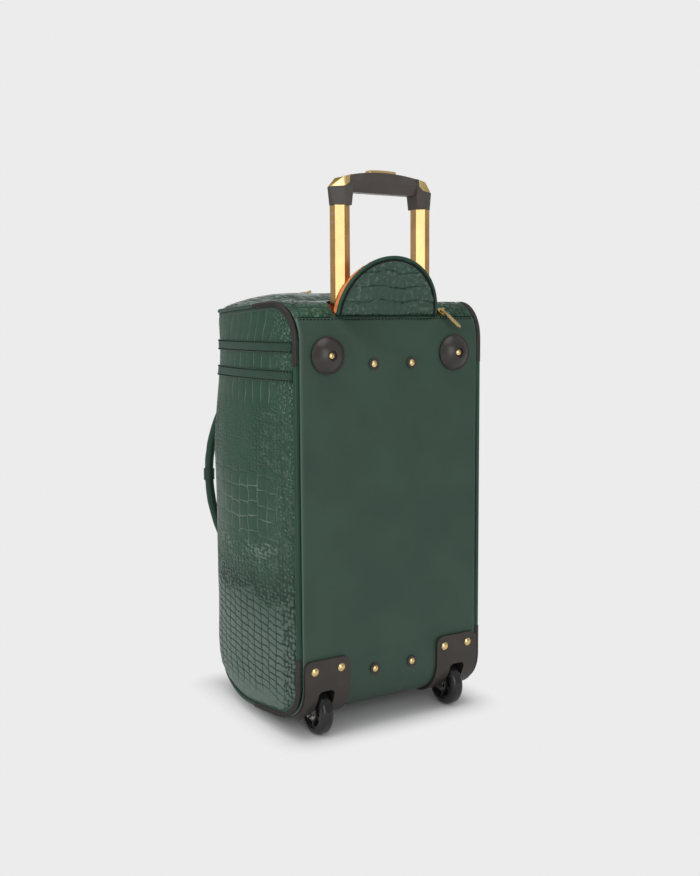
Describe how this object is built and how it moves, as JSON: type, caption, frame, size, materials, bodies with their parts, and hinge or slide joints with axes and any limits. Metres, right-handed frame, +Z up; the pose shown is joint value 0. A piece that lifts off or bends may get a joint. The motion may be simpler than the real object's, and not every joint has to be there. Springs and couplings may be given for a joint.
{
  "type": "wheeled travel bag",
  "caption": "Soft cabin travel bag in green leather on two wheels, with a telescoping handle under a zipped flap and carry handles on its front.",
  "frame": {"origin": "on the floor, in the middle of the footprint of the standing bag", "axes": "+X to the right as seen from behind, where the wheels are, +Y from the back panel to the front, +Z up along the bag's height"},
  "size_m": [0.2808, 0.3076, 0.671],
  "materials": {
    "leather": "smooth bottle-green leather",
    "croc": "bottle-green leather pressed in a scale pattern",
    "black_plastic": "satin black",
    "board": "plain board",
    "grip_plastic": "soft black",
    "tyre": "glossy black rubber",
    "ribbed": "black ribbed cover",
    "gold": "polished gold",
    "gold_tube": "gold anodised",
    "steel": "plain steel",
    "channel": "plain",
    "orange": "orange woven lining",
    "black_tape": "woven tape"
  },
  "bodies": {
    "bag": {"base_panel": "leather", "base_board": "board", "top_end": "croc", "bottom_end": "croc", "wall_left": "croc", "wall_right": "croc", "upper_belts": "leather", "lower_belts": "leather", "piping_left": "leather", "piping_right": "leather", "top_corner_covers": "ribbed", "bottom_corner_covers": "ribbed", "back_foot_left": "black_plastic", "back_foot_right": "black_plastic", "foot_screws": "gold", "trolley_washers": "black_plastic", "trolley_rivets": "gold", "wheel_housing_left": "black_plastic", "wheel_housing_right": "black_plastic", "housing_rivets": "gold", "axles": "steel", "stand_feet": "black_plastic", "channel_left": "channel", "channel_right": "channel", "top_bracket": "black_plastic", "bottom_bracket": "black_plastic", "handle_well": "orange", "flap_slider": "gold", "main_zip_tape": "black_tape", "main_zip_teeth": "gold", "main_slider": "gold", "handle_tabs": "leather", "handle_pins": "gold", "strap_tail": "black_tape"},
    "wheel_left": {"tyre_left": "tyre", "hub_left": "black_plastic", "bearings_left": "steel"},
    "wheel_right": {"tyre_right": "tyre", "hub_right": "black_plastic", "bearings_right": "steel"},
    "middle_stage": {"middle_tube_left": "gold_tube", "middle_tube_right": "gold_tube", "middle_collars": "black_plastic"},
    "handle": {"inner_tube_left": "gold_tube", "inner_tube_right": "gold_tube", "inner_plugs": "black_plastic", "grip": "grip_plastic", "corner_cap_left": "gold", "corner_cap_right": "gold", "tube_rivets": "steel"},
    "release": {"release_button": "gold", "release_rods": "channel"},
    "flap": {"flap_panel": "croc", "flap_lining": "orange", "flap_edge": "black_tape"},
    "flap_pull": {"flap_pull": "gold"},
    "main_pull": {"main_pull": "gold"},
    "carry_left": {"carry_handle_left": "leather", "handle_keeper": "leather"},
    "carry_right": {"carry_handle_right": "leather"}
  },
  "joints": [
    {"name": "wheel_left_spin", "type": "hinge", "parent": "bag", "child": "wheel_left", "pos_m": [-0.096, -0.11915, 0.028], "axis": [1, 0, 0], "continuous": true},
    {"name": "wheel_right_spin", "type": "hinge", "parent": "bag", "child": "wheel_right", "pos_m": [0.096, -0.11915, 0.028], "axis": [1, 0, 0], "continuous": true},
    {"name": "middle_stage_slide", "type": "slide", "parent": "bag", "child": "middle_stage", "axis": [0, 0, 1], "range_m": [0, 0.235]},
    {"name": "handle_slide", "type": "slide", "parent": "middle_stage", "child": "handle", "axis": [0, 0, 1], "range_m": [-0.148, 0.09]},
    {"name": "release_press", "type": "slide", "parent": "handle", "child": "release", "axis": [0, 0, -1], "range_m": [0, 0.003], "stiffness_N_per_m": 600, "springref_m": -0.004},
    {"name": "flap_hinge", "type": "hinge", "parent": "bag", "child": "flap", "pos_m": [0, -0.12915, 0.501], "axis": [1, 0, 0], "range_deg": [-3, 50]},
    {"name": "flap_pull_swing", "type": "hinge", "parent": "bag", "child": "flap_pull", "pos_m": [0.078, -0.13306, 0.50699], "axis": [-0.829, -0.3797, -0.4105], "range_deg": [0, 110]},
    {"name": "main_pull_swing", "type": "hinge", "parent": "bag", "child": "main_pull", "pos_m": [0, 0.06198, 0.53298], "axis": [0, 0.982, -0.189], "range_deg": [0, 160]},
    {"name": "carry_left_swing", "type": "hinge", "parent": "bag", "child": "carry_left", "pos_m": [-0.095, 0.11385, 0.285], "axis": [0, 0, 1], "range_deg": [-100, 45]},
    {"name": "carry_right_swing", "type": "hinge", "parent": "bag", "child": "carry_right", "pos_m": [0.095, 0.11385, 0.285], "axis": [0, 0, 1], "range_deg": [-45, 100]}
  ]
}
